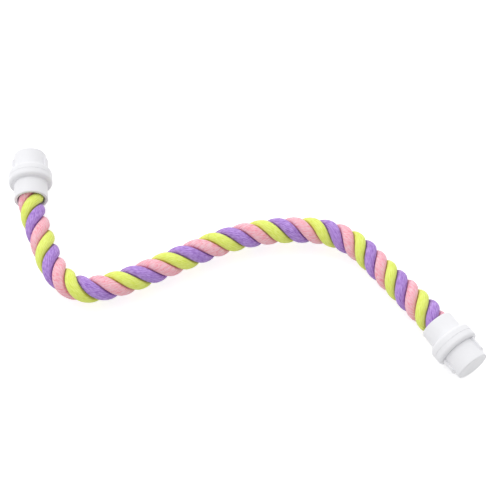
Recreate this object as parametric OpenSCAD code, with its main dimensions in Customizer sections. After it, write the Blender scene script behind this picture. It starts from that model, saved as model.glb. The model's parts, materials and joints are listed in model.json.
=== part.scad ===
// Bendable rope perch for a bird cage, lying on a floor.
// Three coloured strands are laid round a coated steel wire, and each end has a screw clamp for the cage wires.
// Lengths are millimetres. X runs along the perch, Y away from the viewer, Z up.

/* [Rope] */
// Diameter over the crowns of the three strands
rope_d = 23.2; // [22:0.1:24]
// Thickness of one strand, from the rope's middle outwards
strand_d = 8.8; // [8.2:0.1:9.4]
// Length in which a strand goes once round the rope in its middle part
lay_pitch = 45.9; // [41:0.1:60]
// The same length next to the left socket, where the lay is slacker
left_lay = 47; // [41:0.1:60]
// The same length next to the right socket, where the lay is tighter
right_lay = 39; // [36:0.1:50]
// Gap left between two strands where they press on each other
lay_gap = 0.3; // [0.2:0.05:0.6]
// Where round the rope the first strand starts, in degrees
lay_phase = 29; // [0:1:355]
// Diameter of the rope inside a socket, as a share of rope_d
squeeze_share = 0.98; // [0.9:0.01:1]
// Length over which the rope swells to its free size outside a socket
swell_len = 6; // [4:0.5:14]
// How much thicker the rope is next to the right socket, as a share of rope_d
right_bulge = 0.13; // [0:0.01:0.14]
// Length over which the rope thins from there to rope_d
bulge_len = 75; // [40:1:120]

/* [Core] */
// Diameter of the steel wire
wire_d = 3; // [2:0.1:3.4]
// Diameter over the wire's plastic coating
coating_d = 4.4; // [4:0.1:4.6]
// Gap between the wire and its coating, and between the wire and the glue
wire_gap = 0.05; // [0.03:0.01:0.1]

/* [Left stretch] */
// Turn of the first, slack curve out of the left socket, in degrees
lead_turn = 14.9; // [6:0.1:20]
// Radius of that curve
lead_r = 85; // [60:1:120]
// Straight run before the left bend
left_run = 41.1; // [20:0.1:80]
// Turn of the curve that leads into the left bend, in degrees
entry_turn = 25.9; // [10:0.1:35]
// Radius of that curve
entry_r = 66.6; // [60:0.1:120]
// Turn of the tight left bend, in degrees
left_turn = 54.3; // [30:0.1:60]
// Radius of the tight left bend
left_r = 31.5; // [30:0.5:60]
// Turn of the curve that leads out of it, in degrees
exit_turn = 14.5; // [8:0.5:25]
// Radius of that curve
exit_r = 161; // [90:1:200]

/* [Right stretch] */
// Straight run between the two bends
middle_run = 61.8; // [40:0.1:120]
// Turn of the shallow curve before the right bend, in degrees
crest_turn = 29.4; // [15:0.1:40]
// Radius of that curve
crest_r = 187.5; // [120:0.5:240]
// Turn of the right bend, in degrees
right_turn = 47.1; // [25:0.1:60]
// Radius of the right bend
right_r = 70.4; // [40:0.1:90]
// Straight run after the right bend
right_run = 69.4; // [30:0.1:110]
// Turn of the last, slack curve, in degrees
tail_turn = 5.4; // [3:0.1:12]
// Radius of that curve
tail_r = 206; // [160:1:300]

/* [Socket] */
// Outside diameter of the sleeve that holds the rope
sleeve_d = 30.4; // [28.5:0.1:33]
// Length of the sleeve from its rim to the flange
sleeve_len = 16.2; // [12:0.1:24]
// Wall of the sleeve
sleeve_wall = 2.9; // [2:0.1:3]
// Depth of the rope's cut end inside the socket
rope_in = 15; // [12:0.5:15.5]
// Outside diameter of the flange
flange_d = 39.6; // [36:0.1:44]
// Thickness of the flange
flange_t = 6.9; // [5.5:0.1:9]
// Plastic left between the rope's bore and the clamping face
floor_t = 4; // [3.8:0.1:5]
// Diameter of the stud that the cap screws on
stud_d = 12; // [10:0.1:13]
// Width across the stud's two flats, which keep the clamp ring from turning
stud_flats = 10.2; // [8:0.1:10.8]

/* [Clamp ring] */
// Outside diameter of the clamp ring
ring_d = 39.6; // [36.5:0.1:45]
// Thickness of the clamp ring
ring_t = 6.7; // [5:0.1:9]
// Radius of the clamp ring's outer edge
ring_round = 1.6; // [0.8:0.1:2.5]
// Diameter of the cage wire that the clamp holds
cage_wire_d = 3; // [2:0.1:4]

/* [Cap] */
// Outside diameter of the cap
cap_d = 29.8; // [28:0.1:34]
// Length of the cap
cap_len = 18.6; // [16:0.1:24]
// Wall of the cap
cap_wall = 2.4; // [1.8:0.1:3]
// Radius of the cap's outer edge
cap_round = 1.1; // [0.6:0.1:3]
// Height of a grip pad over the cap
pad_h = 1.8; // [1:0.1:2.5]
// Width of a grip pad round the cap, in degrees
pad_width = 51; // [30:1:80]
// Length of a grip pad, as a share of the cap's length
pad_share = 0.72; // [0.6:0.01:0.8]
// How far round the right cap stands from the left cap, in degrees
right_cap_turn = 20; // [0:5:90]

/* [Hidden] */

$fn = 96;

// Clearances
slide_gap = 0.15;
face_gap = 0.1;
tape_gap = 0.08;
wire_end_gap = 0.2;
groove_land = 0.5;
over = 1;

// Small sizes of the pieces
rim_round = 0.7;
mouth_bevel = 0.6;
flange_round = 1.8;
face_bevel = 0.3;
seam_bevel = 0.12;
stud_bevel = 0.9;
tape_t = 0.3;
tape_share = 0.66;
boss_wall = 2.6;
web_t = 1.6;
web_count = 4;
cap_end_t = 2.8;
stud_tip_gap = 1;
pad_bevel_share = 0.9;

// Heights of the fitting's pieces, counted outwards along the axis from the sleeve's rim
flange_z = sleeve_len;
face_z = sleeve_len + flange_t;
ring_z = face_z + face_gap;
cap_z = ring_z + ring_t + face_gap;
end_z = cap_z + cap_len;
bore_depth = face_z - floor_t;
stud_end_z = end_z - cap_end_t - stud_tip_gap;
bore_d = sleeve_d - 2 * sleeve_wall;
groove_x = stud_d / 2 + cage_wire_d / 2 + groove_land;
axis_z = ring_d / 2;

// The rope's route on the floor plane, as [length, turn], from cut end to cut end
first_heading = -83.3;
function arc_len(r, turn) = r * turn * PI / 180;
route = [
    [rope_in, 0],
    [arc_len(lead_r, lead_turn), lead_turn],
    [left_run, 0],
    [arc_len(entry_r, entry_turn), entry_turn],
    [arc_len(left_r, left_turn), left_turn],
    [arc_len(exit_r, exit_turn), exit_turn],
    [middle_run, 0],
    [arc_len(crest_r, crest_turn), -crest_turn],
    [arc_len(right_r, right_turn), -right_turn],
    [right_run, 0],
    [arc_len(tail_r, tail_turn), -tail_turn],
    [rope_in, 0]
];
legs = len(route);

// Where a point lies after going on by len and turning by turn from a heading
function leg_step(len, turn, heading) =
    turn == 0
    ? len * [cos(heading), sin(heading)]
    : let (r = len / (turn * PI / 180))
      r * [sin(heading + turn) - sin(heading), cos(heading) - cos(heading + turn)];

// Each leg's start as [distance, x, y, heading], and the rope's far end last
starts = [
    for (
        i = 0, s = 0, p = [0, 0], h = first_heading;
        i <= legs;
        leg = i < legs ? route[i] : [0, 0],
        p = p + leg_step(leg[0], leg[1], h),
        s = s + leg[0],
        h = h + leg[1],
        i = i + 1
    )
    [s, p[0], p[1], h]
];
rope_len = starts[legs][0];

function leg_at(s, i = 0) = i >= legs - 1 || s < starts[i + 1][0] ? i : leg_at(s, i + 1);

// Outward axis of each end, and the rim of its socket before the model is centred
left_az = first_heading + 180;
right_az = starts[legs][3];
left_rim = [starts[1][1], starts[1][2]];
right_rim = [starts[legs - 1][1], starts[legs - 1][2]];

// How far the ring's and the cap's discs reach along a direction of the plane
function reach(rim, az, z, r, dir) =
    let (a = [cos(az), sin(az)])
    (rim + z * a) * dir + r * sqrt(max(0, 1 - pow(a * dir, 2)));
function end_reach(rim, az, dir) = max(
    reach(rim, az, ring_z + seam_bevel, ring_d / 2, dir),
    reach(rim, az, ring_z + ring_t - ring_round, ring_d / 2, dir),
    reach(rim, az, end_z - cap_round, cap_d / 2 - cap_round, dir) + cap_round
);
function both_reach(dir) = max(end_reach(left_rim, left_az, dir), end_reach(right_rim, right_az, dir));
centre = [both_reach([1, 0]) - both_reach([-1, 0]), both_reach([0, 1]) - both_reach([0, -1])] / 2;

// The rope's axis at a distance from its left cut end, as [x, y, heading, curvature]
function axis_at(s) =
    let (
        i = leg_at(s),
        turn_per_mm = route[i][1] / route[i][0],
        on = s - starts[i][0],
        p = [starts[i][1], starts[i][2]] + leg_step(on, turn_per_mm * on, starts[i][3])
    )
    [p[0] - centre[0], p[1] - centre[1], starts[i][3] + turn_per_mm * on, turn_per_mm * PI / 180];

// The rope is squeezed in its sockets and swells to its free size outside them
function smooth(t) = let (c = min(1, max(0, t))) c * c * (3 - 2 * c);
function size_share(s) =
    let (
        from_rim = min(s, rope_len - s) - rope_in,
        free = 1 + right_bulge * (1 - smooth((rope_len - rope_in - s) / bulge_len))
    )
    squeeze_share + (free - squeeze_share) * smooth(from_rim / swell_len);

// Turns per millimetre of the lay, which change from left_lay to lay_pitch and on to right_lay
left_fade_share = [0.05, 0.23];
right_fade_share = [0.619, 0.798];
left_fade = left_fade_share * rope_len;
right_fade = right_fade_share * rope_len;
function faded(s, fade) = min(1, max(0, (s - fade[0]) / (fade[1] - fade[0])));
function turns_per_mm(s) =
    1 / left_lay
    + (1 / lay_pitch - 1 / left_lay) * faded(s, left_fade)
    + (1 / right_lay - 1 / lay_pitch) * faded(s, right_fade);

// Turns of the lay from the left cut end, the sum of those up to s
function faded_sum(s, fade) =
    let (part = faded(s, fade), width = fade[1] - fade[0])
    part * part * width / 2 + max(0, s - fade[1]);
function turns_at(s) =
    s / left_lay
    + (1 / lay_pitch - 1 / left_lay) * faded_sum(s, left_fade)
    + (1 / right_lay - 1 / lay_pitch) * faded_sum(s, right_fade);

// One ring of a strand: an ellipse square to the strand, as wide as its neighbours leave room for
// Towards a cut end the rings lean until they are square to the rope
lay_r = (rope_d - strand_d) / 2;
cut_share = 0.4;
ring_sides = 10;
rings_per_turn = 12;
function strand_ring(s, phase) =
    let (
        a = axis_at(s),
        share = size_share(s),
        along = [cos(a[2]), sin(a[2]), 0],
        side = [-sin(a[2]), cos(a[2]), 0],
        up = [0, 0, 1],
        theta = 360 * turns_at(s) + phase,
        r = lay_r * share,
        forward = 1 - a[3] * r * cos(theta),
        round = 2 * PI * r * turns_per_mm(s),
        speed = sqrt(forward * forward + round * round),
        lean = smooth(min(s, rope_len - s) / (rope_in * cut_share)),
        out = cos(theta) * side + sin(theta) * up,
        tangent = cos(theta) * up - sin(theta) * side,
        stretch = forward + round * round * (1 - lean) / forward,
        across = (stretch * tangent - lean * round * along) / speed,
        spacing = forward * round / speed / (3 * turns_per_mm(s)),
        half_w = (spacing - lay_gap) / 2,
        middle = [a[0], a[1], axis_z] + r * out
    )
    [
        for (j = [0 : ring_sides - 1])
        let (psi = 360 * (j + 0.5) / ring_sides)
        middle + strand_d * share / 2 * cos(psi) * out + half_w * sin(psi) * across
    ];

// Faces between successive rings of n points, the first ring starting at point number first
function wall_faces(n, rings, first) = [
    for (i = [0 : rings - 1], j = [0 : n - 1])
    let (a = first + i * n + j, b = first + i * n + (j + 1) % n)
    each [[a, b + n, b], [a, a + n, b + n]]
];
function end_faces(n, rings) = [
    for (j = [1 : n - 2])
    each [[0, j, j + 1], [rings * n, rings * n + j + 1, rings * n + j]]
];

module strand(phase) {
    rings = ceil(rope_len / lay_pitch * rings_per_turn);
    points = [for (i = [0 : rings]) each strand_ring(rope_len * i / rings, phase)];
    polyhedron(points, concat(wall_faces(ring_sides, rings, 0), end_faces(ring_sides, rings)));
}

// Distances at which a bar along the route needs a ring: the legs' ends, and steps round each curve
bend_step = 7;
bar_sides = 12;
stops = [
    for (i = [0 : legs - 1])
    let (n = max(1, ceil(abs(route[i][1]) / bend_step)))
    for (k = [0 : n - 1])
    starts[i][0] + route[i][0] * k / n
];
function round_ring(s, r) =
    let (a = axis_at(s))
    [
        for (j = [0 : bar_sides - 1])
        let (psi = 360 * (j + 0.5) / bar_sides)
        [a[0] - r * cos(psi) * sin(a[2]), a[1] + r * cos(psi) * cos(a[2]), axis_z + r * sin(psi)]
    ];

// A round bar along the rope's axis, longer than the rope by extra at each end
module bar(d, extra) {
    at = concat([-extra], [for (i = [1 : len(stops) - 1]) stops[i]], [rope_len + extra]);
    points = [for (s = at) each round_ring(s, d / 2)];
    rings = len(at) - 1;
    polyhedron(points, concat(wall_faces(bar_sides, rings, 0), end_faces(bar_sides, rings)));
}

// A tube along the rope's axis, with the bar's sides so that the one fits in the other
module tube(outer_d, inner_d) {
    at = concat(stops, [rope_len]);
    outer = [for (s = at) each round_ring(s, outer_d / 2)];
    inner = [for (s = at) each round_ring(s, inner_d / 2)];
    n = bar_sides;
    rings = len(at) - 1;
    first = len(outer);
    bore_faces = [for (f = wall_faces(n, rings, first)) [f[0], f[2], f[1]]];
    rims = [
        for (j = [0 : n - 1])
        let (k = (j + 1) % n, far = rings * n)
        each [
            [j, k, first + k],
            [j, first + k, first + j],
            [far + j, first + far + k, far + k],
            [far + j, first + far + j, first + far + k]
        ]
    ];
    polyhedron(concat(outer, inner), concat(wall_faces(n, rings, 0), bore_faces, rims));
}

module core_wire() {
    wire_extra = bore_depth - rope_in - wire_end_gap;
    color("silver") bar(wire_d, wire_extra);
}

module wire_coating() {
    color("gainsboro") tube(coating_d, wire_d + 2 * wire_gap);
}

module strand_pink() {
    color([0.93, 0.28, 0.52]) strand(lay_phase);
}

module strand_lime() {
    color([0.72, 0.84, 0.16]) strand(lay_phase + 240);
}

module strand_purple() {
    color([0.36, 0.25, 0.62]) strand(lay_phase + 120);
}

// A fitting's pieces are drawn about +Z, outwards from the sleeve's rim, with +X towards the floor
module at_left() {
    translate([left_rim[0] - centre[0], left_rim[1] - centre[1], axis_z]) rotate([0, 90, left_az]) children();
}

module at_right() {
    translate([right_rim[0] - centre[0], right_rim[1] - centre[1], axis_z]) rotate([0, 90, right_az]) children();
}

// Outline of a turned corner: a quarter round of radius r at [x, z], from one angle to the next
function corner(x, z, r, from, to, steps = 6) =
    [for (i = [0 : steps]) let (a = from + (to - from) * i / steps) [x + r * cos(a), z + r * sin(a)]];

// The stud's section and the ring's hole have the same two flats
module flatted(d, flats) {
    intersection() {
        circle(d = d);
        square([flats, d + over], center = true);
    }
}

// A round groove for the cage wire, across the clamping faces below the stud
module wire_groove() {
    translate([groove_x, 0, face_z + face_gap / 2]) rotate([90, 0, 0])
        cylinder(d = cage_wire_d, h = ring_d + 2 * over, center = true);
}

// The stud's tip is bevelled by a cone that is cut wider than the stud
module stud() {
    len = stud_end_z - face_z + face_bevel;
    translate([0, 0, face_z - face_bevel]) intersection() {
        linear_extrude(len) flatted(stud_d, stud_flats);
        rotate_extrude() polygon([
            [0, 0],
            [stud_d, 0],
            [stud_d, len - stud_d / 2 - stud_bevel],
            [stud_d / 2 - stud_bevel, len],
            [0, len]
        ]);
    }
}

module socket() {
    rs = sleeve_d / 2;
    rb = bore_d / 2;
    rf = flange_d / 2;
    profile = concat(
        [[0, bore_depth], [rb, bore_depth], [rb, mouth_bevel], [rb + mouth_bevel, 0]],
        corner(rs - rim_round, rim_round, rim_round, -90, 0),
        corner(rs + rim_round, flange_z - rim_round, rim_round, 180, 90),
        corner(rf - flange_round, flange_z + flange_round, flange_round, -90, 0),
        [[rf, face_z - seam_bevel], [rf - seam_bevel, face_z], [0, face_z]]
    );
    color("white") difference() {
        union() {
            rotate_extrude() polygon(profile);
            stud();
        }
        wire_groove();
    }
}

module clamp_ring() {
    rr = ring_d / 2;
    color("white") difference() {
        translate([0, 0, ring_z]) rotate_extrude() polygon(concat(
            [[0, 0], [rr - seam_bevel, 0], [rr, seam_bevel]],
            corner(rr - ring_round, ring_t - ring_round, ring_round, 0, 90),
            [[0, ring_t]]
        ));
        translate([0, 0, ring_z - over]) linear_extrude(ring_t + 2 * over)
            flatted(stud_d + 2 * slide_gap, stud_flats + 2 * slide_gap);
        wire_groove();
    }
}

module grip_pad() {
    r0 = cap_d / 2 - cap_wall / 2;
    r1 = cap_d / 2 + pad_h;
    long = cap_len * pad_share;
    rotate([0, 0, -pad_width / 2]) rotate_extrude(angle = pad_width) polygon([
        [r0, seam_bevel],
        [r1 - seam_bevel, seam_bevel],
        [r1, 2 * seam_bevel],
        [r1, long - pad_h * pad_bevel_share],
        [r1 - pad_h, long],
        [r0, long]
    ]);
}

// The cap is a moulded knob: a skirt with two grip pads, and inside it a threaded boss on four webs
module cap() {
    rc = cap_d / 2;
    ri = rc - cap_wall;
    boss_d = stud_d + 2 * slide_gap + 2 * boss_wall;
    hollow = cap_len - cap_end_t;
    profile = concat(
        [[0, hollow], [ri, hollow], [ri, 0], [rc - seam_bevel, 0], [rc, seam_bevel]],
        corner(rc - cap_round, cap_len - cap_round, cap_round, 0, 90),
        [[0, cap_len]]
    );
    color("white") translate([0, 0, cap_z]) difference() {
        union() {
            rotate_extrude() polygon(profile);
            cylinder(d = boss_d, h = hollow + face_bevel);
            for (i = [0 : web_count - 1])
                rotate([0, 0, 360 * i / web_count + 180 / web_count])
                    translate([boss_d / 2 - face_bevel, -web_t / 2, 2 * face_bevel])
                        cube([ri - boss_d / 2 + 2 * face_bevel, web_t, hollow - face_bevel]);
            for (a = [90, 270]) rotate([0, 0, a]) grip_pad();
        }
        translate([0, 0, -over]) cylinder(d = stud_d + 2 * slide_gap, h = hollow + over);
    }
}

// Tape wound round the rope's cut end so that the strands stay laid
module end_tape() {
    inner_r = rope_d / 2 * squeeze_share + tape_gap;
    tape_len = rope_in * tape_share;
    color("ivory") translate([0, 0, rope_in - tape_len]) difference() {
        cylinder(r = inner_r + tape_t, h = tape_len);
        translate([0, 0, -over]) cylinder(r = inner_r, h = tape_len + 2 * over);
    }
}

// Set glue that fills the bottom of the bore and grips the wire
module glue_plug() {
    color("wheat") translate([0, 0, rope_in + tape_gap]) difference() {
        cylinder(d = bore_d - 2 * tape_gap, h = bore_depth - rope_in - 2 * tape_gap);
        translate([0, 0, -over]) cylinder(d = wire_d + 2 * wire_gap, h = bore_depth);
    }
}

module left_socket() at_left() socket();
module left_end_tape() at_left() end_tape();
module left_glue_plug() at_left() glue_plug();
module left_clamp_ring() at_left() clamp_ring();
module left_cap() at_left() cap();
module right_socket() at_right() socket();
module right_end_tape() at_right() end_tape();
module right_glue_plug() at_right() glue_plug();
module right_clamp_ring() at_right() clamp_ring();
module right_cap() at_right() rotate([0, 0, right_cap_turn]) cap();

core_wire();
wire_coating();
strand_pink();
strand_lime();
strand_purple();
left_socket();
left_end_tape();
left_glue_plug();
left_clamp_ring();
left_cap();
right_socket();
right_end_tape();
right_glue_plug();
right_clamp_ring();
right_cap();
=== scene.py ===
import json
import math

import bmesh
import bpy
import numpy as np
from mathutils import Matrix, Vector


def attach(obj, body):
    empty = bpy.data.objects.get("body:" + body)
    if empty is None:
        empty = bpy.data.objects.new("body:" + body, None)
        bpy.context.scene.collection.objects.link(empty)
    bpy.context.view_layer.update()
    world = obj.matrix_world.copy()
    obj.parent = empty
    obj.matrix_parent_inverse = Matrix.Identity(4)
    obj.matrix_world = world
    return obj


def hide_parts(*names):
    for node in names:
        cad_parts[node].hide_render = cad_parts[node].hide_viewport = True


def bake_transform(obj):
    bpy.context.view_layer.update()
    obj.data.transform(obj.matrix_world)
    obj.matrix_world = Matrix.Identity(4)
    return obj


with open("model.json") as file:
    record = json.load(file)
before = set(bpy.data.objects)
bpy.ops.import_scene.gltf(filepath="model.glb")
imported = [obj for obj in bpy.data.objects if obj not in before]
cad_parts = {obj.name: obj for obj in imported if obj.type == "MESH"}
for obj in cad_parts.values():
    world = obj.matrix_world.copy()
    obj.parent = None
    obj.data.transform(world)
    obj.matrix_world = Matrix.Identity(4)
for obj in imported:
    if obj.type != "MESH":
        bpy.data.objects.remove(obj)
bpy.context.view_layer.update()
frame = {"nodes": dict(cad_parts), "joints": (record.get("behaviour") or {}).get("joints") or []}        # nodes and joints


def placeObject(name, data):
    placed = bpy.data.objects.new(name, data)
    bpy.context.scene.collection.objects.link(placed)
    return placed


# The camera stands where the photograph was taken from
photoCamera = {
    "aim": (0.01163, 0.00959, 0.0198),    # this point lands in the middle of the picture
    "distance": 1.047,
    "elevation": 59.5,                    # degrees over the floor
    "lens": 84.96,
    "sensor": 36.0,
    "clip": (0.05, 20.0),
}


def makeCamera(setup):
    data = bpy.data.cameras.new("photoCamera")
    data.lens = setup["lens"]
    data.sensor_width = setup["sensor"]
    data.sensor_fit = "HORIZONTAL"
    data.clip_start, data.clip_end = setup["clip"]
    camera = placeObject("photoCamera", data)
    tilt = math.radians(setup["elevation"])
    back = Vector((0, -math.cos(tilt), math.sin(tilt)))
    camera.location = Vector(setup["aim"]) + setup["distance"] * back
    camera.rotation_euler = (math.pi / 2 - tilt, 0, 0)
    bpy.context.scene.camera = camera
    print("camera ready")


makeCamera(photoCamera)

# Helpers for shader nodes: a place is a column and a row in the node editor
nodeSpacing = (190, 170)


def addNode(tree, kind, place=(0, 0), **values):
    node = tree.nodes.new(kind)
    node.location = (place[0] * nodeSpacing[0], place[1] * nodeSpacing[1])
    for name, value in values.items():
        setattr(node, name, value)
    return node


def setSocket(tree, socket, value):
    # From another node's output or from a plain value
    if isinstance(value, bpy.types.NodeSocket):
        tree.links.new(value, socket)
    else:
        socket.default_value = value


def feed(tree, node, **inputs):
    # Sets a node's inputs by name, with _ for each space in a name
    for name, value in inputs.items():
        setSocket(tree, node.inputs[name.replace("_", " ")], value)
    return node


def mathNode(tree, operation, first, second=None, place=(0, 0), third=None, clamp=False):
    node = addNode(tree, "ShaderNodeMath", place, operation=operation, use_clamp=clamp)
    for socket, value in zip(node.inputs, (first, second, third)):
        if value is not None:
            setSocket(tree, socket, value)
    return node.outputs[0]


def noiseNode(tree, place, vector, dimensions="3D", **inputs):
    node = addNode(tree, "ShaderNodeTexNoise", place, noise_dimensions=dimensions)
    return feed(tree, node, Vector=vector, **inputs).outputs[0]


def bumpNode(tree, place, height, strength, distance):
    node = addNode(tree, "ShaderNodeBump", place)
    return feed(tree, node, Height=height, Strength=strength, Distance=distance).outputs[0]


def mixColour(tree, factor, first, second, place):
    # The mix node has its colour inputs at 6 and 7 and its colour output at 2
    node = addNode(tree, "ShaderNodeMix", place, data_type="RGBA")
    setSocket(tree, node.inputs[0], factor)
    for socket, value in zip(node.inputs[6:8], (first, second)):
        setSocket(tree, socket, (*value, 1) if isinstance(value, tuple) else value)
    return node.outputs[2]


def newGroup(name, inputs, outputs):
    group = bpy.data.node_groups.new(name, "ShaderNodeTree")
    for label, kind, value in inputs:
        socket = group.interface.new_socket(label, in_out="INPUT", socket_type="NodeSocket" + kind)
        if value is not None:
            socket.default_value = value
    for label, kind in outputs:
        group.interface.new_socket(label, in_out="OUTPUT", socket_type="NodeSocket" + kind)
    return group, addNode(group, "NodeGroupInput", (-8, 0)), addNode(group, "NodeGroupOutput", (8, 0))


def useGroup(tree, group, place, **inputs):
    return feed(tree, addNode(tree, "ShaderNodeGroup", place, node_tree=group), **inputs)


def zigzag(tree, value, place):
    # Rises from 0 to 1 and falls back, once for each whole step of the value
    folded = mathNode(tree, "PINGPONG", value, 0.5, place)
    return mathNode(tree, "MULTIPLY", folded, 2.0, (place[0] + 1, place[1]))


def domed(tree, value, place):
    # Turns a straight rise from 0 to 1 into a domed one
    angle = mathNode(tree, "MULTIPLY", value, math.pi / 2, place)
    return mathNode(tree, "SINE", angle, None, (place[0] + 1, place[1]))


def fromScreen(*levels):
    # A colour as seen on screen, 0 to 255, as the linear value that a shader takes
    shares = [level / 255 for level in levels]
    return tuple(c / 12.92 if c <= 0.04045 else ((c + 0.055) / 1.055) ** 2.4 for c in shares)


# Shader groups that more than one material uses
knitShape = {
    "slant": 0.9,                         # lean of a stitch's two legs, in courses
    "legDepth": 0.4,                      # how far a leg's ends sink under its middle
    "gapSharpness": 1.6,
    "wander": 0.0005,                     # metres that a column of stitches strays sideways
    "wanderScale": 240.0,
    "streaksAlong": 170.0,                # pale and deep streaks, counted along a metre of strand
    "streakScale": 1.5,
    "fibreScale": 2600.0,
    "fibreStretch": (1.0, 0.35, 1.0),     # under 1 in V draws the fibres out along the strand
}


def makeKnitGroup(shape):
    # Columns of V stitches from a UV map in metres: U goes round the strand, V goes along it
    inputs = [
        ("UV", "Vector", None),
        ("Wale Width", "Float", 0.0015),
        ("Course Height", "Float", 0.0012),
        ("Slant", "Float", shape["slant"]),
    ]
    outputs = [("Height", "Float"), ("Gap", "Float"), ("Fibre", "Float"), ("Streak", "Float")]
    group, given, result = newGroup("knitStitches", inputs, outputs)
    uv = given.outputs["UV"]
    split = feed(group, addNode(group, "ShaderNodeSeparateXYZ", (-7, 0)), Vector=uv)

    wander = noiseNode(group, (-7, -2), uv, "2D", Scale=shape["wanderScale"], Detail=1.0)
    wander = mathNode(group, "MULTIPLY_ADD", wander, shape["wander"], (-6, -2), -shape["wander"] / 2)
    across = mathNode(group, "ADD", split.outputs[0], wander, (-5, 1))
    wale = mathNode(group, "DIVIDE", across, given.outputs["Wale Width"], (-4, 1))
    side = zigzag(group, wale, (-3, 1))
    rib = domed(group, side, (-1, 2))

    course = mathNode(group, "DIVIDE", split.outputs[1], given.outputs["Course Height"], (-4, -1))
    lean = mathNode(group, "MULTIPLY", side, given.outputs["Slant"], (-1, 1))
    leg = zigzag(group, mathNode(group, "ADD", course, lean, (0, 0)), (1, 0))
    leg = domed(group, leg, (3, 0))
    leg = mathNode(group, "MULTIPLY_ADD", leg, shape["legDepth"], (5, 0), 1 - shape["legDepth"])
    height = mathNode(group, "MULTIPLY", rib, leg, (6, 1))
    low = mathNode(group, "SUBTRACT", 1.0, height, (6, -1), clamp=True)
    gap = mathNode(group, "POWER", low, shape["gapSharpness"], (7, -1))

    row = mathNode(group, "MULTIPLY", split.outputs[1], shape["streaksAlong"], (-5, -4))
    cell = feed(group, addNode(group, "ShaderNodeCombineXYZ", (-4, -3)), X=wale, Y=row).outputs[0]
    streak = noiseNode(
        group, (-2, -3), cell, "2D",
        Scale=shape["streakScale"], Detail=1.5, Roughness=0.55,
    )
    stretch = addNode(group, "ShaderNodeMapping", (-2, -5))
    stretch = feed(group, stretch, Vector=uv, Scale=shape["fibreStretch"]).outputs[0]
    fibre = noiseNode(
        group, (0, -5), stretch, "2D",
        Scale=shape["fibreScale"], Detail=3.0, Roughness=0.6,
    )
    feed(group, result, Height=height, Gap=gap, Fibre=fibre, Streak=streak)
    return group


def makeCloudGroup():
    # Slow variation over a surface, for dye, dust and sheen that is not even
    inputs = [("Vector", "Vector", None), ("Scale", "Float", 60.0), ("Contrast", "Float", 0.5)]
    group, given, result = newGroup("softClouds", inputs, [("Mask", "Float")])
    cloud = noiseNode(group, (-3, 0), given.outputs["Vector"], Scale=given.outputs["Scale"], Detail=4.0)
    centred = mathNode(group, "SUBTRACT", cloud, 0.5, (-1, 0))
    scaled = mathNode(group, "MULTIPLY", centred, given.outputs["Contrast"], (1, 0))
    feed(group, result, Mask=mathNode(group, "ADD", scaled, 0.5, (3, 0), clamp=True))
    return group


def makeMouldedGroup(grainShare=0.35):
    # Fine grain and faint flow marks of a moulded plastic skin
    inputs = [
        ("Vector", "Vector", None),
        ("Grain Scale", "Float", 2600.0),
        ("Flow Scale", "Float", 90.0),
    ]
    group, given, result = newGroup("mouldedSkin", inputs, [("Height", "Float"), ("Gloss Mask", "Float")])
    vector, grainScale, flowScale = given.outputs[:3]
    grain = noiseNode(group, (-3, 1), vector, Scale=grainScale, Detail=2.0)
    flow = noiseNode(group, (-3, -1), vector, Scale=flowScale, Detail=3.0, Distortion=0.6)
    height = mathNode(group, "MULTIPLY_ADD", grain, grainShare, (1, 1), flow)
    feed(group, result, Height=height, Gloss_Mask=flow)
    return group


knitGroup = makeKnitGroup(knitShape)
cloudGroup = makeCloudGroup()
mouldedGroup = makeMouldedGroup()
print("shader groups ready")


def newMaterial(name):
    material = bpy.data.materials.new(name)
    material.use_nodes = True
    tree = material.node_tree
    tree.nodes.clear()
    shader = addNode(tree, "ShaderNodeBsdfPrincipled", (6, 0))
    output = addNode(tree, "ShaderNodeOutputMaterial", (8, 0))
    tree.links.new(shader.outputs[0], output.inputs[0])
    return material, tree, shader


# The knitted covers: "lit" is the pale, brushed yarn, "deep" the full dye, which also serves as painted shade
# in the gaps between stitches; the third colour is painted shade along the crease where two strands meet
strandDye = {
    "pink": {
        "lit": fromScreen(252, 208, 218),
        "deep": fromScreen(248, 136, 156),
        "groove": fromScreen(224, 104, 140),
        "contrast": 2.6,                  # of the streaks
    },
    "lime": {
        "lit": fromScreen(240, 249, 140),
        "deep": fromScreen(210, 227, 34),
        "groove": fromScreen(168, 156, 24),
        "contrast": 1.1,
    },
    "purple": {
        "lit": fromScreen(198, 162, 234),
        "deep": fromScreen(122, 68, 173),
        "groove": fromScreen(98, 40, 150),
        "contrast": 1.5,
    },
}
knitFinish = {
    "waleWidth": 0.0015,                  # metres across one column of stitches
    "wales": 20,                          # columns round a strand
    "courseHeight": 0.0016,
    "depth": 0.06,                        # shifts the whole cover towards its full dye
    "fibreTone": 0.30,
    # painted shade: how much more of the full dye the low gaps between stitches take
    "gapPaintedShade": 0.34,
    "cloudTone": 0.24,
    "cloudScale": 110.0,
    "cloudContrast": 1.4,
    # painted shade: strength of the darker colour along the crease where two strands meet
    "grooveTone": 1.35,
    "grooveFibre": 0.9,                   # how much the fibres break up the painted groove shade
    "roughness": 0.78,
    "roughnessRange": 0.15,
    "fibreRelief": 0.35,
    "bumpStrength": 0.6,
    "bumpDistance": 0.0003,
    "sheen": 0.25,
    "sheenRoughness": 0.45,
    "specular": 0.2,
}


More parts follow.
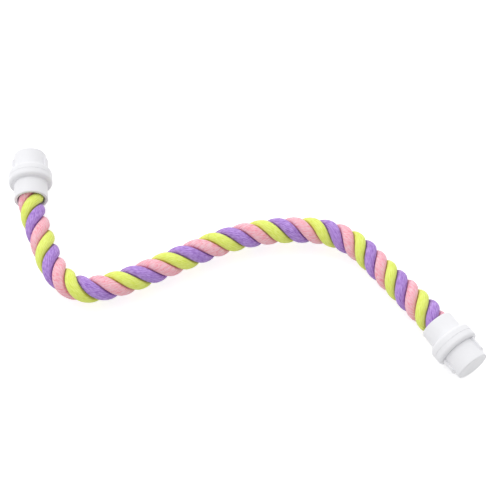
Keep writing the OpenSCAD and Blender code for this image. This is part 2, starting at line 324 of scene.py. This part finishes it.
def knitFabric(name, dye, finish):
    material, tree, shader = newMaterial(name)
    uv = addNode(tree, "ShaderNodeUVMap", (-8, 0), uv_map="strandUV").outputs[0]
    knit = useGroup(
        tree, knitGroup, (-5, 1),
        UV=uv, Wale_Width=finish["waleWidth"], Course_Height=finish["courseHeight"],
    )
    height, gap, fibre, streak = knit.outputs[:4]
    position = addNode(tree, "ShaderNodeTexCoord", (-8, -2)).outputs["Object"]
    cloud = useGroup(
        tree, cloudGroup, (-5, -2),
        Vector=position, Scale=finish["cloudScale"], Contrast=finish["cloudContrast"],
    )
    base = dye["contrast"] / 2 + finish["depth"]
    tone = mathNode(tree, "MULTIPLY_ADD", streak, -dye["contrast"], (-4, 0), base)
    tone = mathNode(tree, "MULTIPLY_ADD", fibre, finish["fibreTone"], (-3, 0), tone)
    # Painted shade: the low gaps between stitches take more of the full dye
    tone = mathNode(tree, "MULTIPLY_ADD", gap, finish["gapPaintedShade"], (-2, 0), tone)
    tone = mathNode(tree, "SUBTRACT", tone, finish["cloudTone"] / 2, (-1, 1))
    tone = mathNode(tree, "MULTIPLY_ADD", cloud.outputs[0], finish["cloudTone"], (-1, 0), tone, clamp=True)
    colour = mixColour(tree, tone, dye["lit"], dye["deep"], (1, 1))

    # Painted shade: a darker colour along the crease where two strands meet, broken up by the fibres
    paintedShadeMask = addNode(tree, "ShaderNodeAttribute", (-8, 3), attribute_name="paintedShadeMask").outputs["Fac"]
    broken = mathNode(tree, "MULTIPLY_ADD", fibre, -finish["grooveFibre"], (1, 3), finish["grooveTone"])
    groove = mathNode(tree, "MULTIPLY", paintedShadeMask, broken, (2, 3), clamp=True)
    colour = mixColour(tree, groove, colour, dye["groove"], (3, 1))

    rough = mathNode(tree, "MULTIPLY_ADD", fibre, finish["roughnessRange"], (2, -1), finish["roughness"])
    relief = mathNode(tree, "MULTIPLY_ADD", fibre, finish["fibreRelief"], (1, -2), height)
    bump = bumpNode(tree, (3, -2), relief, finish["bumpStrength"], finish["bumpDistance"])
    feed(
        tree, shader,
        Base_Color=colour, Roughness=rough, Normal=bump, Sheen_Weight=finish["sheen"],
        Sheen_Roughness=finish["sheenRoughness"], Specular_IOR_Level=finish["specular"],
    )
    return material


# The moulded white plastic of sockets, rings and caps
plasticFinish = {
    "colour": fromScreen(237, 237, 240),
    "shade": 0.965,                       # its darker clouds, as a share of the colour
    "cloudScale": 45.0,
    "cloudContrast": 0.8,
    "roughness": 0.34,
    "roughnessRange": 0.12,
    "bumpStrength": 0.12,
    "bumpDistance": 0.00006,
    "refraction": 1.49,
    "specular": 0.15,
}


def whitePlastic(name, finish):
    material, tree, shader = newMaterial(name)
    position = addNode(tree, "ShaderNodeTexCoord", (-8, 0)).outputs["Object"]
    skin = useGroup(tree, mouldedGroup, (-5, 0), Vector=position)
    cloud = useGroup(
        tree, cloudGroup, (-5, -2),
        Vector=position, Scale=finish["cloudScale"], Contrast=finish["cloudContrast"],
    )
    shade = tuple(c * finish["shade"] for c in finish["colour"])
    colour = mixColour(tree, cloud.outputs[0], finish["colour"], shade, (1, 1))
    smoothest = finish["roughness"] - finish["roughnessRange"] / 2
    rough = mathNode(
        tree, "MULTIPLY_ADD", skin.outputs["Gloss Mask"], finish["roughnessRange"], (1, -1), smoothest)
    bump = bumpNode(tree, (3, -2), skin.outputs["Height"], finish["bumpStrength"], finish["bumpDistance"])
    feed(
        tree, shader,
        Base_Color=colour, Roughness=rough, Normal=bump,
        IOR=finish["refraction"], Specular_IOR_Level=finish["specular"],
    )
    return material


# The pieces inside the perch: name, colour, darker clouds, roughness, scale of the clouds, metallic
hiddenFinishes = {
    "steel": ("drawnSteel", (196, 197, 200), (150, 150, 154), 0.35, 400.0, 1.0),
    "coating": ("wireCoating", (232, 232, 228), (210, 210, 204), 0.5, 200.0, 0.0),
    "tape": ("paperTape", (238, 234, 218), (214, 206, 180), 0.8, 500.0, 0.0),
    "glue": ("setGlue", (226, 208, 160), (196, 170, 112), 0.3, 250.0, 0.0),
}
hiddenSurface = {
    "cloudContrast": 1.2,
    "roughnessRange": 0.2,
    "bumpStrength": 0.2,
    "bumpDistance": 0.0001,
}


def hiddenMaterial(name, colour, dark, roughness, scale, metallic):
    surface = hiddenSurface
    material, tree, shader = newMaterial(name)
    position = addNode(tree, "ShaderNodeTexCoord", (-8, 0)).outputs["Object"]
    cloud = useGroup(
        tree, cloudGroup, (-5, 0),
        Vector=position, Scale=scale, Contrast=surface["cloudContrast"],
    ).outputs[0]
    mixed = mixColour(tree, cloud, fromScreen(*colour), fromScreen(*dark), (1, 1))
    smoothest = roughness - surface["roughnessRange"] / 2
    rough = mathNode(tree, "MULTIPLY_ADD", cloud, surface["roughnessRange"], (1, -1), smoothest)
    bump = bumpNode(tree, (3, -2), cloud, surface["bumpStrength"], surface["bumpDistance"])
    feed(tree, shader, Base_Color=mixed, Roughness=rough, Normal=bump, Metallic=metallic)
    return material


materials = {colour: knitFabric(colour + "Knit", dye, knitFinish) for colour, dye in strandDye.items()}
materials["plastic"] = whitePlastic("whitePlastic", plasticFinish)
for key, values in hiddenFinishes.items():
    materials[key] = hiddenMaterial(*values)
print("materials ready")

# The rope lies in the same places and has the same sizes as its solids
ropeRoute = {
    "start": (-0.189233, 0.077017),       # the left cut end
    "heading": -83.3,                     # degrees from +X
    "height": 0.0198,
    "legs": [                             # straight runs as (length, 0), curves as (radius, turn in degrees)
        (0.015, 0), (0.085, 14.9), (0.0411, 0), (0.0666, 25.9), (0.0315, 54.3), (0.161, 14.5),
        (0.0618, 0), (0.1875, -29.4), (0.0704, -47.1), (0.0694, 0), (0.206, -5.4), (0.015, 0),
    ],
}
ropeLay = {
    "ropeDiameter": 0.0232,
    "strandThickness": 0.0088,
    "pitches": (0.047, 0.0459, 0.039),    # next to the left socket, in the middle, next to the right socket
    "fades": ((0.05, 0.23), (0.619, 0.798)),    # shares of the length over which the pitch changes
    "phases": {"pink": 29, "lime": 269, "purple": 149},    # degrees round the rope at its left cut end
    "ropeIn": 0.015,                      # length of rope inside a socket
    "squeeze": 0.98,                      # size of the rope in there
    "swellLength": 0.006,                 # the rope is at its free size this far outside
    "bulge": 0.13,                        # extra size next to the right socket
    "bulgeLength": 0.075,
    "leanShare": 0.4,                     # over this share of ropeIn a section turns from the cut face's plane
                                          # to one square across its strand
    "press": 1.0,                         # 1 lets two strands just touch
    "squareness": 2.25,                   # of a strand's section: 2 is an ellipse, more is fuller
    "cornerSoftness": 0.35,
    "ringStep": 0.00075,
    "ringSides": 96,
}
strandCover = {
    "waleDepth": 0.00024,                 # depth of the valleys between two ridges of stitches
    "ridgeTwist": 0.2,                    # metres that a ridge runs sideways for each metre of strand
    "stitchTwist": {"pink": 1.6, "lime": 0.35, "purple": 0.6},    # the same for the stitches of each cover
    "lumpiness": 0.012,                   # unevenness of the filling, as a share of the thickness
    "lumpLengths": (0.019, 0.031, 0.047),
    "lumpRise": 0.02,                     # it is fully there this far outside a socket
    "seed": 11,
    "grooveShadeFrom": 0.95,                    # the painted groove shade starts here: 0 is the crown, 1 the contact
    "grooveShadeInner": -0.2,                   # and ends here towards the rope's middle
    "grooveShadeShare": 0.6,
}
upward = np.array([0.0, 0.0, 1.0])


def routeLegs(route):
    # Distance, place, heading and bend where each leg starts, and the length of them all
    place = np.array(route["start"], float)
    heading = math.radians(route["heading"])
    distance = 0.0
    table = []
    for size, degrees in route["legs"]:
        turn = math.radians(degrees)
        length = size * abs(turn) if degrees else size
        bend = turn / length
        table.append((distance, place.copy(), heading, bend))
        if degrees:
            before = np.array([math.sin(heading), -math.cos(heading)])
            after = np.array([math.sin(heading + turn), -math.cos(heading + turn)])
            place += (after - before) / bend
        else:
            place += length * np.array([math.cos(heading), math.sin(heading)])
        heading += turn
        distance += length
    return table, distance


legTable, ropeLength = routeLegs(ropeRoute)


def axisAt(s):
    # Place, direction, left-hand side and bend of the rope's axis, at distances s from the left cut end
    starts, places, headings, bends = (np.array(column) for column in zip(*legTable))
    leg = np.clip(np.searchsorted(starts, s, side="right") - 1, 0, len(legTable) - 1)
    on, heading, bend = s - starts[leg], headings[leg], bends[leg]
    turned = heading + bend * on
    straight = bend == 0
    divisor = np.where(straight, 1.0, bend)
    x = np.where(straight, on * np.cos(heading), (np.sin(turned) - np.sin(heading)) / divisor)
    y = np.where(straight, on * np.sin(heading), (np.cos(heading) - np.cos(turned)) / divisor)
    level = np.zeros_like(s)
    place = np.stack([places[leg, 0] + x, places[leg, 1] + y, level + ropeRoute["height"]], -1)
    along = np.stack([np.cos(turned), np.sin(turned), level], -1)
    side = np.stack([-np.sin(turned), np.cos(turned), level], -1)
    return place, along, side, bend


def smooth(t):
    t = np.clip(t, 0, 1)
    return t * t * (3 - 2 * t)


def gridMesh(name, rings, u, v, uvName):
    # A closed tube from an array of rings, with its UV map in metres and flat ends
    count, sides = rings.shape[:2]
    mesh = bpy.data.meshes.new(name)
    corner = np.arange(count * sides).reshape(count, sides)
    after = np.roll(corner, -1, axis=1)
    quads = np.stack([corner[:-1], after[:-1], after[1:], corner[1:]], axis=-1).reshape(-1, 4)
    faces = quads.tolist() + [corner[0][::-1].tolist(), corner[-1].tolist()]
    mesh.from_pydata(rings.reshape(-1, 3).tolist(), [], faces)
    pairs = np.empty((count - 1, sides, 4, 2))
    for k, (row, column) in enumerate(((0, 0), (0, 1), (1, 1), (1, 0))):
        rows = slice(row, count - 1 + row)
        pairs[:, :, k, 0] = u[rows, column:sides + column]
        pairs[:, :, k, 1] = v[rows, None]
    flat = np.concatenate([pairs.reshape(-1, 2), np.zeros((2 * sides, 2))])
    layer = mesh.uv_layers.new(name=uvName)
    layer.data.foreach_set("uv", flat.astype(np.float32).ravel())
    mesh.shade_smooth()
    for end in (len(quads), len(quads) + 1):
        mesh.polygons[end].use_smooth = False
    mesh.update()
    return placeObject(name, mesh)


def gentleNoise(rng, s, waveLengths):
    # A smooth seeded wave along the rope, between about -1 and 1
    value = np.zeros_like(s)
    for length in waveLengths:
        start = rng.uniform(0, 2 * math.pi)
        value += np.sin(2 * math.pi * s / length + start) * rng.uniform(0.6, 1.0)
    return value / len(waveLengths)


def layTurns(lay, s):
    # Turns of the lay up to each distance, and turns per metre there
    turns, rate = s / lay["pitches"][0], np.full_like(s, 1 / lay["pitches"][0])
    for fade, before, after in zip(lay["fades"], lay["pitches"], lay["pitches"][1:]):
        start, end = (share * ropeLength for share in fade)
        faded = np.clip((s - start) / (end - start), 0, 1)
        change = 1 / after - 1 / before
        turns = turns + change * (faded ** 2 * (end - start) / 2 + np.maximum(0, s - end))
        rate = rate + change * faded
    return turns, rate


def ropeSize(lay, s):
    # The rope's size at each distance, as a share of its free size on the left
    free = 1 + lay["bulge"] * (1 - smooth((ropeLength - lay["ropeIn"] - s) / lay["bulgeLength"]))
    outside = np.minimum(s, ropeLength - s) - lay["ropeIn"]
    share = lay["squeeze"] + (free - lay["squeeze"]) * smooth(outside / lay["swellLength"])
    return share, outside


def strandSection(lay):
    # A rounded, rather square section: the angle of each corner, its way out and its way sideways
    psi = 2 * math.pi * (np.arange(lay["ringSides"]) + 0.5) / lay["ringSides"]
    power = 2 / lay["squareness"]
    outward = np.sign(np.cos(psi)) * np.abs(np.cos(psi)) ** power
    sideways = np.sign(np.sin(psi)) * np.abs(np.sin(psi)) ** power
    fill = 1 / np.hypot(outward, sideways) ** lay["cornerSoftness"]
    return psi, outward * fill, sideways * fill


def strandRings(lay, cover, colour, s, seed):
    # Rings of corners round one strand, with how far round and how far along it they lie
    place, along, side, bend = axisAt(s)
    share, outside = ropeSize(lay, s)
    noise = gentleNoise(np.random.default_rng(seed), s, cover["lumpLengths"])
    lump = 1 + cover["lumpiness"] * noise * smooth(outside / cover["lumpRise"])
    turns, rate = layTurns(lay, s)
    theta = 2 * math.pi * turns + math.radians(lay["phases"][colour])
    radius = (lay["ropeDiameter"] - lay["strandThickness"]) / 2 * share
    out = np.cos(theta)[:, None] * side + np.sin(theta)[:, None] * upward
    tangent = np.cos(theta)[:, None] * upward - np.sin(theta)[:, None] * side

    # How fast the strand runs forward and round for each metre of axis; in a bend its outside runs faster
    forward = 1 - bend * radius * np.cos(theta)
    roundRate = 2 * math.pi * radius * rate
    speed = np.hypot(forward, roundRate)
    lean = smooth(np.minimum(s, ropeLength - s) / (lay["ropeIn"] * lay["leanShare"]))
    stretch = forward + roundRate ** 2 * (1 - lean) / forward
    across = (stretch[:, None] * tangent - (lean * roundRate)[:, None] * along) / speed[:, None]
    step = np.diff(s)
    forwardSteps = step * (forward[1:] + forward[:-1]) / 2
    length = np.concatenate([[0], np.cumsum(np.hypot(forwardSteps, step * roundRate[1:]))])

    # The section fills its third of the way round, and ridges of stitches run along it
    psi, outward, sideways = strandSection(lay)
    halfOut = lay["strandThickness"] * share / 2 * lump
    halfAcross = forward * roundRate / speed / (3 * rate) * lay["press"] / 2
    ridgeTurn = 2 * math.pi / knitFinish["waleWidth"] * cover["ridgeTwist"]
    wale = knitFinish["wales"] * psi + ridgeTurn * length[:, None]
    ridge = 1 - cover["waleDepth"] / halfOut[:, None] * 0.5 * (1 + np.cos(wale))
    rings = (place + radius[:, None] * out)[:, None, :]
    rings = rings + (halfOut[:, None] * outward * ridge)[:, :, None] * out[:, None, :]
    rings = rings + (halfAcross[:, None] * sideways * ridge)[:, :, None] * across[:, None, :]

    perimeter = knitFinish["waleWidth"] * knitFinish["wales"]
    around = perimeter * (np.arange(lay["ringSides"] + 1) + 0.5) / lay["ringSides"]
    return rings, around + cover["stitchTwist"][colour] * length[:, None], length


def grooveShadeMask(lay, cover):
    # How much painted groove shade each corner of a ring gets
    psi = strandSection(lay)[0]
    near = smooth((np.abs(np.sin(psi)) - cover["grooveShadeFrom"]) / (1 - cover["grooveShadeFrom"]))
    return cover["grooveShadeShare"] * near * (np.cos(psi) > cover["grooveShadeInner"])


def ropeHalves(count):
    # Each half of the rope is a piece of its own
    middle = count // 2
    return ("left", slice(0, middle + 1)), ("right", slice(middle, count + 1))


def makeStrands(lay, cover):
    made = []
    count = int(round(ropeLength / lay["ringStep"]))
    s = np.linspace(0, ropeLength, count + 1)
    mask = grooveShadeMask(lay, cover)
    for index, colour in enumerate(lay["phases"]):
        rings, u, v = strandRings(lay, cover, colour, s, cover["seed"] + index)
        for half, rows in ropeHalves(count):
            piece = gridMesh(f"{colour}_strand_{half}", rings[rows], u[rows], v[rows], "strandUV")
            # The mask of the painted groove shade, kept on the strand's corners
            paintedShadeMask = piece.data.attributes.new("paintedShadeMask", "FLOAT", "POINT")
            paintedShadeMask.data.foreach_set("value", np.tile(mask, len(v[rows])).astype(np.float32))
            piece.data.materials.append(materials[colour])
            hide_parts("strand_" + colour)
            made.append((piece, half))
    return made


# The core wire and its coat
coreSizes = {
    "wire": 0.003,
    "coating": 0.0044,
    "wireBeyond": 0.0034,                 # bare wire that reaches into each glue plug
    "sides": 24,
    "ringStep": 0.002,
}


def barRings(s, diameter, sides):
    place, along, side, bend = axisAt(s)
    psi = 2 * math.pi * np.arange(sides) / sides
    way = np.cos(psi)[:, None] * side[:, None, :] + np.sin(psi)[:, None] * upward
    u = math.pi * diameter * np.arange(sides + 1) / sides
    return place[:, None, :] + diameter / 2 * way, np.tile(u, (len(s), 1))


def makeCore(core):
    made = []
    count = int(round(ropeLength / core["ringStep"]))
    for node, slotName, finish, diameter, beyond in (
        ("core_wire", "steel_wire", "steel", core["wire"], core["wireBeyond"]),
        ("wire_coating", "wire_coating", "coating", core["coating"], 0.0),
    ):
        s = np.linspace(-beyond, ropeLength + beyond, count + 1)
        rings, u = barRings(s, diameter, core["sides"])
        for half, rows in ropeHalves(count):
            piece = gridMesh(f"{node}_{half}", rings[rows], u[rows], s[rows], "barUV")
            piece.data.materials.append(materials[finish])
            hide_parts(node)
            made.append((piece, half))
    return made


def blendHalves(made):
    for piece, half in made:
        if half == "left":
            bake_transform(piece)
        else:
            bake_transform(piece)


blendHalves(makeStrands(ropeLay, strandCover))
blendHalves(makeCore(coreSizes))
print("rope ready")

# Sockets and clamp rings get what their solids leave out: the stud's screw thread and rounder outer edges
threadSize = {
    "lead": 0.003,
    "depth": 0.0007,
    "rootWidth": 0.0006,
    "mouthWidth": 0.0019,
    "plainFoot": 0.0018,                  # the groove starts this far over the clamping face
    "runIn": 0.3,                         # turns in which it reaches its depth
    "stepsPerTurn": 36,
    "studDiameter": 0.012,
}
edgeSize = {
    "socket": 0.0032,                     # radius of the flange's edge towards the rope
    "clamp_ring": 0.0028,                 # radius of the ring's edge towards the cap
    "arcSteps": 10,
    "sides": 128,
}
cutSize = {
    "overrun": 0.0004,                    # the cutters reach this far past the surface
    "clear": 0.00001,                     # an arc's ends lie this far outside, so that nothing is tangent
    "weld": 1e-7,                         # corners of a solid that are closer than this become one
    "smoothUpTo": 32,                     # degrees between two faces that still shade as one
}


def capScrew(side):
    # A point on the axis that a cap turns on, the axis's direction away from the rope, and two across it
    joint = next(joint for joint in frame["joints"] if joint["name"] == side + "_cap_turn")
    axis = Vector(joint["axis"]).normalized()
    across = axis.orthogonal().normalized()
    return Vector(joint["pos_m"]), axis, across, axis.cross(across)


def alongAndAway(mesh, foot, axis):
    # Height along the axis and distance from it, for every corner
    places = np.array([vertex.co for vertex in mesh.vertices]) - np.array(foot)
    heights = places @ np.array(axis)
    return heights, np.linalg.norm(places - heights[:, None] * np.array(axis), axis=1)


def makeCutter(name, corners, faces):
    mesh = bpy.data.meshes.new(name)
    mesh.from_pydata(corners, [], faces)
    shape = bmesh.new()
    shape.from_mesh(mesh)
    bmesh.ops.recalc_face_normals(shape, faces=shape.faces)
    shape.to_mesh(mesh)
    shape.free()
    return placeObject(name, mesh)


def grooveCutter(side, size, mesh):
    # A helical bar, wider outwards, from near the clamping face to past the stud's tip
    foot, axis, across, third = capScrew(side)
    heights, away = alongAndAway(mesh, foot, axis)
    radius, over = size["studDiameter"] / 2, cutSize["overrun"]
    start = float(heights[away > 2 * radius].max()) + size["plainFoot"]
    turns = (float(heights.max()) - start) / size["lead"] + 1
    count = int(turns * size["stepsPerTurn"])
    root = size["rootWidth"] / 2
    slope = (size["mouthWidth"] - size["rootWidth"]) / (2 * size["depth"])
    corners = []
    for k in range(count + 1):
        turned = k / size["stepsPerTurn"]
        entered = min(1, turned / size["runIn"])
        sunk = size["depth"] * entered - over * (1 - entered) / 2
        out = math.cos(2 * math.pi * turned) * across + math.sin(2 * math.pi * turned) * third
        middle = foot + (start + size["lead"] * turned) * axis
        for reach, half in ((radius - sunk, root), (radius + over, root + slope * (sunk + over))):
            corners += [middle + reach * out - half * axis, middle + reach * out + half * axis]
    last = 4 * count                      # four corners a section
    faces = [(0, 1, 3, 2), (last, last + 2, last + 3, last + 1)]
    for a in range(0, last, 4):
        b = a + 4
        faces += [(a, b, b + 1, a + 1), (a + 2, a + 3, b + 3, b + 2)]
        faces += [(a, a + 2, b + 2, b), (a + 1, b + 1, b + 3, a + 3)]
    return makeCutter(side + "_thread_cutter", corners, faces)


def edgeCutter(side, part, size, mesh):
    # A ring of what lies outside the rounded edge: the flange's inner edge or the clamp ring's outer one
    foot, axis, across, third = capScrew(side)
    heights, away = alongAndAway(mesh, foot, axis)
    radius, over, clear = size[part], cutSize["overrun"], cutSize["clear"]
    rim = float(away.max())
    outer = heights[away > rim - radius]
    way = -1 if part == "socket" else 1
    face = float(outer.min() if part == "socket" else outer.max())
    centre = (rim - radius + clear, face - way * (radius - clear))
    profile = []
    for k in range(size["arcSteps"] + 1):
        a = math.pi / 2 * k / size["arcSteps"]
        profile.append((centre[0] + radius * math.cos(a), centre[1] + way * radius * math.sin(a)))
    beyond = face + way * over
    profile += [(centre[0], beyond), (rim + over, beyond), (rim + over, centre[1])]
    corners = []
    for k in range(size["sides"]):
        a = 2 * math.pi * k / size["sides"]
        out = math.cos(a) * across + math.sin(a) * third
        corners += [foot + height * axis + reach * out for reach, height in profile]
    grid = np.arange(len(corners)).reshape(size["sides"], len(profile))
    ahead, beside = np.roll(grid, -1, axis=0), np.roll(grid, -1, axis=1)
    faces = np.stack([grid, beside, np.roll(beside, -1, axis=0), ahead], axis=-1).reshape(-1, 4)
    return makeCutter(f"{side}_{part}_edge_cutter", corners, faces.tolist())


def copySolid(name, solid):
    # A solid's mesh with its corners joined, as a piece of its own
    shape = bmesh.new()
    shape.from_mesh(solid.data)
    bmesh.ops.remove_doubles(shape, verts=shape.verts, dist=cutSize["weld"])
    mesh = bpy.data.meshes.new(name)
    faces = [[vertex.index for vertex in face.verts] for face in shape.faces]
    mesh.from_pydata([vertex.co for vertex in shape.verts], [], faces)
    shape.free()
    return placeObject(name, mesh)


def makeDetailedPiece(side, part, name, body):
    piece = copySolid(name, frame["nodes"][f"{side}_{part}"])
    cutters = [edgeCutter(side, part, edgeSize, piece.data)]
    if part == "socket":
        cutters.append(grooveCutter(side, threadSize, piece.data))
    for cutter in cutters:
        cut = piece.modifiers.new(cutter.name, "BOOLEAN")
        cut.operation, cut.solver, cut.object = "DIFFERENCE", "EXACT", cutter
    bpy.context.view_layer.update()
    evaluated = piece.evaluated_get(bpy.context.evaluated_depsgraph_get())
    finished = bpy.data.meshes.new_from_object(evaluated)
    piece.modifiers.clear()
    piece.data = finished
    for cutter in cutters:
        bpy.data.objects.remove(cutter)
    finished.materials.clear()
    finished.materials.append(materials["plastic"])
    finished.shade_smooth()
    finished.set_sharp_from_angle(angle=math.radians(cutSize["smoothUpTo"]))
    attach(piece, f"{side}_{body}")
    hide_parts(f"{side}_{part}")
    print(name, "faces", len(finished.polygons))


for side in ("left", "right"):
    makeDetailedPiece(side, "socket", side + "_threaded_socket", "end")
    makeDetailedPiece(side, "clamp_ring", side + "_rounded_ring", "ring")


def finishFittings():
    # The other pieces of the fittings keep their solids and get their finish
    for side in ("left", "right"):
        for part, finish in (("cap", "plastic"), ("end_tape", "tape"), ("glue_plug", "glue")):
            piece = frame["nodes"][f"{side}_{part}"]
            piece.data.materials.clear()
            piece.data.materials.append(materials[finish])


finishFittings()
print("fittings ready")

# Floor, sky and lamps
studio = {
    "floorSize": 6.0,
    "floorColour": fromScreen(232, 232, 232),
    "floorGlow": 0.5,                     # only seen, so that the floor looks white round a soft shadow
    "worldStrength": 0.94,
    "worldSlope": (-0.20, 0.38),          # how much brighter the sky is on the left and behind the perch
    "lamps": [                            # name, place, size, power in watts
        ("keyLamp", (-1.6, 1.2, 3.2), 1.8, 20.0),
        ("fillLamp", (0.7, 0.2, 1.3), 0.8, 0.8),
    ],
}
plainWhite = (1, 1, 1, 1)


def backgroundSeen(tree, place):
    # 1 where a ray shows the background itself, 0 where it only lights the perch
    light = addNode(tree, "ShaderNodeLightPath", place)
    seen = light.outputs["Is Camera Ray"]
    for step, ray in enumerate(("Is Glossy Ray", "Is Transmission Ray"), 1):
        seen = mathNode(tree, "MAXIMUM", seen, light.outputs[ray], (place[0] + step, place[1]))
    return seen


def makeFloor(setup):
    half = setup["floorSize"] / 2
    mesh = bpy.data.meshes.new("floor")
    corners = [(-half, -half, 0), (half, -half, 0), (half, half, 0), (-half, half, 0)]
    mesh.from_pydata(corners, [], [(0, 1, 2, 3)])
    floor = placeObject("floor", mesh)
    material, tree, shader = newMaterial("paleFloor")
    glow = mathNode(tree, "MULTIPLY", backgroundSeen(tree, (0, 3)), setup["floorGlow"], (3, 3))
    feed(
        tree, shader,
        Base_Color=(*setup["floorColour"], 1), Roughness=0.9, Specular_IOR_Level=0.0,
        Emission_Color=plainWhite, Emission_Strength=glow,
    )
    mesh.materials.append(material)


def makeWorld(setup):
    world = bpy.data.worlds.new("studioWorld")
    world.use_nodes = True
    tree = world.node_tree
    tree.nodes.clear()
    direction = addNode(tree, "ShaderNodeTexCoord", (-5, 0)).outputs["Generated"]
    split = feed(tree, addNode(tree, "ShaderNodeSeparateXYZ", (-4, 0)), Vector=direction)
    sky = setup["worldStrength"]
    for axis, slope in enumerate(setup["worldSlope"]):
        sky = mathNode(tree, "MULTIPLY_ADD", split.outputs[axis], slope, (axis - 3, 0), sky)
    strength = addNode(tree, "ShaderNodeMix", (-1, 1), data_type="FLOAT")
    for socket, value in zip((0, 2, 3), (backgroundSeen(tree, (-4, 2)), sky, 1.0)):    # factor, A and B
        setSocket(tree, strength.inputs[socket], value)
    background = addNode(tree, "ShaderNodeBackground", (1, 0))
    feed(tree, background, Color=plainWhite, Strength=strength.outputs[0])
    output = addNode(tree, "ShaderNodeOutputWorld", (3, 0))
    tree.links.new(background.outputs[0], output.inputs[0])
    bpy.context.scene.world = world


def makeLamps(setup):
    for name, place, size, power in setup["lamps"]:
        data = bpy.data.lights.new(name, "AREA")
        data.shape = "DISK"
        data.size = size
        data.energy = power
        lamp = placeObject(name, data)
        lamp.location = place
        lamp.rotation_euler = (-Vector(place)).to_track_quat("-Z", "Y").to_euler()


makeFloor(studio)
makeWorld(studio)
makeLamps(studio)
bpy.context.scene.view_settings.view_transform = "Standard"
print("studio ready")
